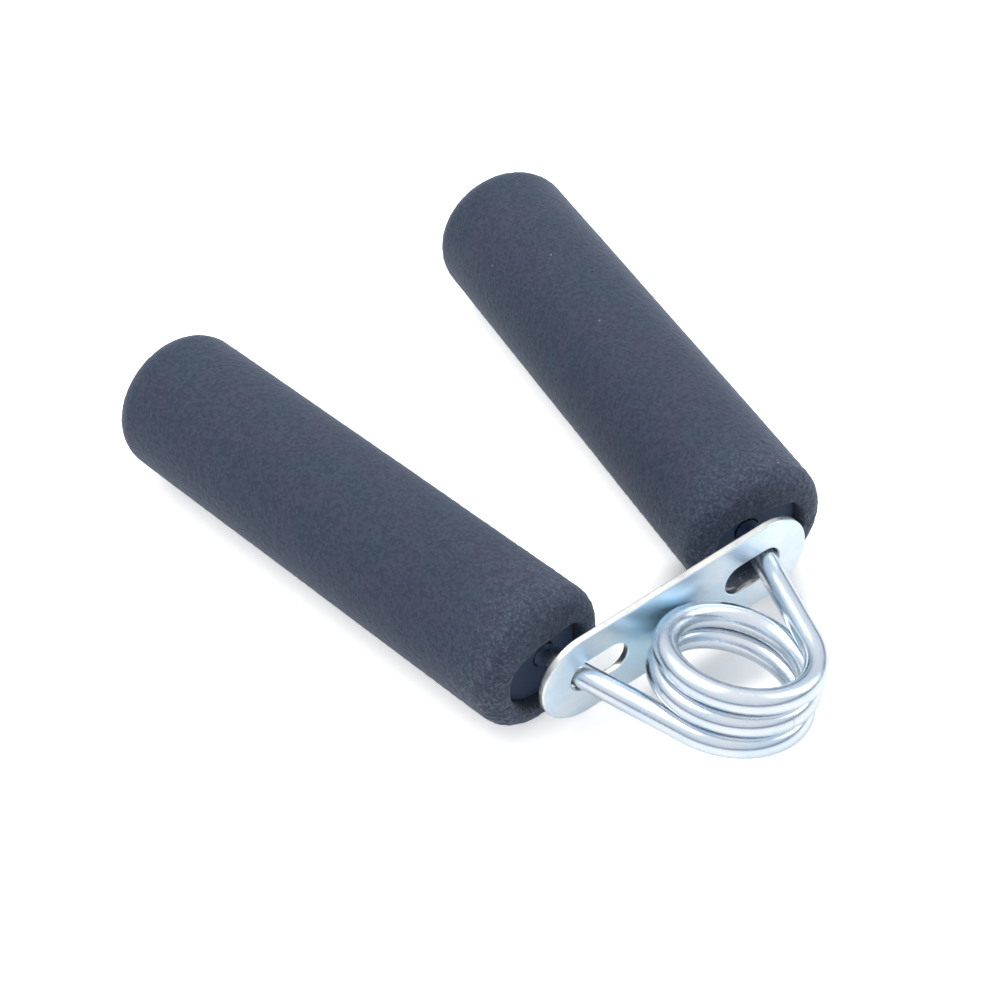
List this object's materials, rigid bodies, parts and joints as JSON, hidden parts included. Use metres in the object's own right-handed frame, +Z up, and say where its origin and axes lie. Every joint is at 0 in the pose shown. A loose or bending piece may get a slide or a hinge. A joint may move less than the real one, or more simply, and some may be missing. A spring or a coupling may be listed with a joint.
{
  "type": "hand grip strengthener",
  "caption": "Foam hand grip exerciser: a steel torsion spring joins two foam-covered handles, held apart by a slotted stop plate.",
  "frame": {"origin": "under the middle of the bounding box, on the surface that the two sleeves lie on", "axes": "+Y from the coil towards the handles' closed ends, +Z up from the surface, +X towards the right-hand handle, whose arm leaves the top of the coil"},
  "size_m": [0.1148, 0.1541, 0.0309],
  "materials": {
    "zinc_wire": "polished",
    "zinc_plate": "satin",
    "black_plastic": "satin",
    "charcoal_foam": "matte"
  },
  "bodies": {
    "spring": {"spring_coil": "zinc_wire"},
    "stop": {"stop_plate": "zinc_plate"},
    "right_handle": {"spring_arm_right": "zinc_wire", "handle_core_right": "black_plastic", "foam_sleeve_right": "charcoal_foam"},
    "left_handle": {"spring_arm_left": "zinc_wire", "handle_core_left": "black_plastic", "foam_sleeve_left": "charcoal_foam"}
  },
  "joints": [
    {"name": "right_squeeze", "type": "hinge", "parent": "spring", "child": "right_handle", "pos_m": [0, -0.06033, 0.01545], "axis": [0.3171, 0, 0.9484], "range_deg": [0, 13], "stiffness_Nm_per_rad": 55.2, "springref_deg": -2.86},
    {"name": "left_squeeze", "type": "hinge", "parent": "spring", "child": "left_handle", "pos_m": [0, -0.06033, 0.01545], "axis": [-0.3171, 0, -0.9484], "range_deg": [0, 13], "stiffness_Nm_per_rad": 55.2, "springref_deg": -2.86},
    {"name": "plate_rock", "type": "hinge", "parent": "spring", "child": "stop", "pos_m": [0, -0.06033, 0.01545], "axis": [0, -1, 0], "range_deg": [0, 5]}
  ],
  "couplings": [
    {"joint": "left_squeeze", "follows": "right_squeeze", "ratio": 1},
    {"joint": "plate_rock", "follows": "right_squeeze", "ratio": 0.37}
  ]
}
